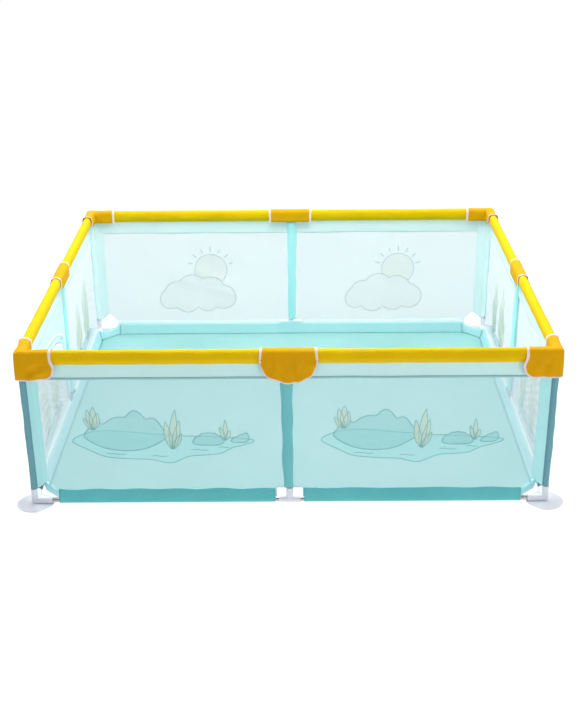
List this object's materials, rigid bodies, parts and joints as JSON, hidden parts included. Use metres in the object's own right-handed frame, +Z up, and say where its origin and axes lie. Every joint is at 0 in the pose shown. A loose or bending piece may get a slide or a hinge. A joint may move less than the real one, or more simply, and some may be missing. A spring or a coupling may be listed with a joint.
{
  "type": "playpen",
  "caption": "Rectangular fabric playpen on a push-fit steel tube frame, with padded rails, net sides, a zipped gate in one side, a cloth floor and suction feet.",
  "frame": {"origin": "on the floor, at the middle of the plan, level with the rims of the suction cups", "axes": "+X along the long side, +Z up, the front at -Y; the gate is in the front bay of the -X side"},
  "size_m": [2.09, 1.89, 0.642],
  "materials": {
    "steel_tube": "bright zinc plate",
    "white_plastic": "moulded, satin",
    "cup_rubber": "soft, milky",
    "foam": "closed-cell foam",
    "yellow_cloth": "woven, padded",
    "yellow_cover": "woven, piped edge",
    "aqua_cloth": "thin woven",
    "teal_cloth": "woven",
    "net": "fine printed net",
    "floor_cloth": "woven oxford cloth",
    "piping": "folded binding tape",
    "zip_tape": "moulded coil on tape",
    "zip_metal": "enamelled die casting"
  },
  "bodies": {
    "frame": {"base_mat": "floor_cloth", "bottom_mid_connector_back": "white_plastic", "bottom_mid_connector_front": "white_plastic", "bottom_mid_connector_left": "white_plastic", "bottom_mid_connector_right": "white_plastic", "bottom_sleeves": "teal_cloth", "bottom_tubes_back": "steel_tube", "bottom_tubes_front": "steel_tube", "bottom_tubes_left": "steel_tube", "bottom_tubes_right": "steel_tube", "corner_cover_back_left": "yellow_cover", "corner_cover_back_right": "yellow_cover", "corner_cover_front_left": "yellow_cover", "corner_cover_front_right": "yellow_cover", "corner_post_back_left": "steel_tube", "corner_post_back_right": "steel_tube", "corner_post_front_left": "steel_tube", "corner_post_front_right": "steel_tube", "corner_post_sleeves": "teal_cloth", "foot_connector_back_left": "white_plastic", "foot_connector_back_right": "white_plastic", "foot_connector_front_left": "white_plastic", "foot_connector_front_right": "white_plastic", "gate_surround": "aqua_cloth", "mat_edges": "floor_cloth", "mid_cover_saddles": "yellow_cover", "mid_post_sleeves": "teal_cloth", "mid_posts": "steel_tube", "net_panel_left_rear": "net", "net_panels_back": "net", "net_panels_front": "net", "net_panels_right": "net", "rail_foam": "foam", "rail_skirts": "aqua_cloth", "rail_sleeve_back": "yellow_cloth", "rail_sleeve_front": "yellow_cloth", "rail_sleeve_left": "yellow_cloth", "rail_sleeve_right": "yellow_cloth", "suction_cups": "cup_rubber", "top_corner_connector_back_left": "white_plastic", "top_corner_connector_back_right": "white_plastic", "top_corner_connector_front_left": "white_plastic", "top_corner_connector_front_right": "white_plastic", "top_mid_connector_back": "white_plastic", "top_mid_connector_front": "white_plastic", "top_mid_connector_left": "white_plastic", "top_mid_connector_right": "white_plastic", "top_tubes_back": "steel_tube", "top_tubes_front": "steel_tube", "top_tubes_left": "steel_tube", "top_tubes_right": "steel_tube", "zip_track_frame": "zip_tape"},
    "gate_door": {"gate_door": "net", "zip_track_door": "zip_tape"},
    "zip_slider": {"zip_slider": "zip_metal"},
    "zip_pull": {"zip_pull": "zip_metal"},
    "mid_flap_front": {"mid_cover_flap_front": "yellow_cover"},
    "mid_flap_right": {"mid_cover_flap_right": "yellow_cover"},
    "mid_flap_back": {"mid_cover_flap_back": "yellow_cover"},
    "mid_flap_left": {"mid_cover_flap_left": "yellow_cover"}
  },
  "joints": [
    {"name": "gate_swing", "type": "hinge", "parent": "frame", "child": "gate_door", "pos_m": [-0.975, -0.42, 0.075], "axis": [0, -1, 0], "range_deg": [0, 98]},
    {"name": "zip_travel", "type": "hinge", "parent": "frame", "child": "zip_slider", "pos_m": [-0.975, -0.42, -0.32], "axis": [1, 0, 0], "range_deg": [0, 49]},
    {"name": "zip_pull_lift", "type": "hinge", "parent": "zip_slider", "child": "zip_pull", "pos_m": [-0.9802, -0.10361, 0.37426], "axis": [0, 0.4147, 0.91], "range_deg": [0, 150]},
    {"name": "flap_lift_front", "type": "hinge", "parent": "frame", "child": "mid_flap_front", "pos_m": [0, -0.8963, 0.624], "axis": [-1, 0, 0], "range_deg": [0, 150]},
    {"name": "flap_lift_right", "type": "hinge", "parent": "frame", "child": "mid_flap_right", "pos_m": [0.9963, 0, 0.624], "axis": [0, -1, 0], "range_deg": [0, 150]},
    {"name": "flap_lift_back", "type": "hinge", "parent": "frame", "child": "mid_flap_back", "pos_m": [0, 0.8963, 0.624], "axis": [1, 0, 0], "range_deg": [0, 150]},
    {"name": "flap_lift_left", "type": "hinge", "parent": "frame", "child": "mid_flap_left", "pos_m": [-0.9963, 0, 0.624], "axis": [0, 1, 0], "range_deg": [0, 150]}
  ]
}
